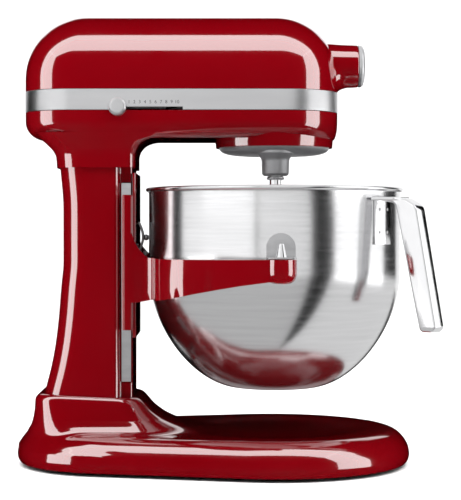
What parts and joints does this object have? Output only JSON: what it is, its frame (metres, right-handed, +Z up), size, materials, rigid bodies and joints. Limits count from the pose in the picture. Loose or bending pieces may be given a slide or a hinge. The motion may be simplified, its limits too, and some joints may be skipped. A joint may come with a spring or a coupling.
{
  "type": "stand mixer",
  "caption": "Bowl-lift stand mixer: enamelled base, column and head, planetary drive over a steel bowl carried on a lifting yoke.",
  "frame": {"origin": "on the surface it stands on, at the centre of the object's plan", "axes": "+Z up; +X to the front, where the bowl and the attachment socket are; the lift lever is on the +Y side"},
  "size_m": [0.3861, 0.2818, 0.4174],
  "materials": {
    "red_enamel": "gloss enamel",
    "satin_metal": "satin",
    "grey_casting": "satin grey",
    "polished_steel": "polished",
    "brushed_steel": "fine circular brushing",
    "plain_steel": "machined",
    "brass": "machined",
    "copper_windings": "varnished wire",
    "rubber": "matte",
    "black_plastic": "fine texture",
    "circuit_board": "solder mask"
  },
  "bodies": {
    "stand": {"base_casting": "red_enamel", "rubber_foot_1": "rubber", "rubber_foot_2": "rubber", "rubber_foot_3": "rubber", "rubber_foot_4": "rubber", "column_casting": "red_enamel", "guide_track_left": "plain_steel", "guide_track_right": "plain_steel", "lower_head_housing": "red_enamel", "upper_head_housing": "red_enamel", "trim_band": "satin_metal", "cord_gland": "rubber", "gearbox_frame": "grey_casting", "lower_centre_bearing": "plain_steel", "upper_centre_bearing": "plain_steel", "ring_gear": "plain_steel", "motor_frame": "grey_casting", "motor_stator": "plain_steel", "brush_holder_left": "brass", "brush_holder_right": "brass", "control_board": "circuit_board", "hub_sleeve": "plain_steel"},
    "rotor": {"motor_shaft": "plain_steel", "motor_armature": "copper_windings", "commutator": "copper_windings", "cooling_fan": "black_plastic", "motor_pinion": "plain_steel"},
    "layshaft": {"lay_shaft": "plain_steel", "lay_gear": "plain_steel", "drive_bevel_pinion": "plain_steel"},
    "planetary": {"planetary_carrier": "grey_casting", "centre_shaft": "plain_steel", "centre_bevel_gear": "plain_steel"},
    "agitator": {"agitator_shaft": "polished_steel", "planet_pinion": "plain_steel", "drive_pin": "polished_steel", "shaft_ring": "polished_steel", "flat_beater": "satin_metal"},
    "hub_drive": {"hub_shaft": "plain_steel", "hub_bevel_pinion": "plain_steel"},
    "hub_cover": {"hub_cap": "satin_metal"},
    "hub_screw": {"hub_knob": "black_plastic"},
    "speed_control": {"speed_knob": "satin_metal", "speed_slider": "black_plastic"},
    "bowl_yoke": {"yoke": "red_enamel", "locating_pin_left": "polished_steel", "locating_pin_right": "polished_steel", "latch_spring": "plain_steel"},
    "lift_handle": {"lift_lever": "satin_metal", "lift_shaft": "plain_steel", "lift_crank": "plain_steel"},
    "bowl": {"bowl_shell": "brushed_steel", "bowl_bracket_left": "plain_steel", "bowl_bracket_right": "plain_steel", "bowl_rear_stud": "plain_steel", "bowl_handle": "polished_steel"}
  },
  "joints": [
    {"name": "planetary_spin", "type": "hinge", "parent": "stand", "child": "planetary", "pos_m": [0.0465, 0, 0.31], "axis": [0, 0, 1], "continuous": true},
    {"name": "agitator_spin", "type": "hinge", "parent": "planetary", "child": "agitator", "pos_m": [0.0465, -0.033, 0.3], "axis": [0, 0, 1], "continuous": true},
    {"name": "layshaft_spin", "type": "hinge", "parent": "stand", "child": "layshaft", "pos_m": [0, 0, 0.3724], "axis": [1, 0, 0], "continuous": true},
    {"name": "rotor_spin", "type": "hinge", "parent": "stand", "child": "rotor", "pos_m": [-0.1, 0, 0.3424], "axis": [1, 0, 0], "continuous": true},
    {"name": "hub_drive_spin", "type": "hinge", "parent": "stand", "child": "hub_drive", "pos_m": [0.1, 0, 0.3724], "axis": [1, 0, 0], "continuous": true},
    {"name": "hub_cap_flip", "type": "hinge", "parent": "stand", "child": "hub_cover", "pos_m": [0.1249, 0, 0.392], "axis": [0, -1, 0], "range_deg": [0, 100]},
    {"name": "hub_knob_turn", "type": "hinge", "parent": "stand", "child": "hub_screw", "pos_m": [0.115, 0.03, 0.3724], "axis": [0, 1, 0], "range_deg": [0, 360]},
    {"name": "speed_slide", "type": "slide", "parent": "stand", "child": "speed_control", "axis": [1, 0, 0], "range_m": [0, 0.055]},
    {"name": "yoke_lower", "type": "slide", "parent": "stand", "child": "bowl_yoke", "axis": [0, 0, -1], "range_m": [0, 0.037]},
    {"name": "lift_lever_turn", "type": "hinge", "parent": "stand", "child": "lift_handle", "pos_m": [-0.12, 0.055, 0.2], "axis": [0, -1, 0], "range_deg": [0, 121]},
    {"name": "bowl_off", "type": "slide", "parent": "bowl_yoke", "child": "bowl", "axis": [0, 0, 1], "range_m": [0, 0.016]}
  ],
  "couplings": [
    {"joint": "agitator_spin", "follows": "planetary_spin", "ratio": -3.75},
    {"joint": "layshaft_spin", "follows": "planetary_spin", "ratio": -3},
    {"joint": "hub_drive_spin", "follows": "planetary_spin", "ratio": 3},
    {"joint": "rotor_spin", "follows": "planetary_spin", "ratio": 9},
    {"joint": "lift_lever_turn", "follows": "yoke_lower", "rad_per_m": 56.6}
  ]
}
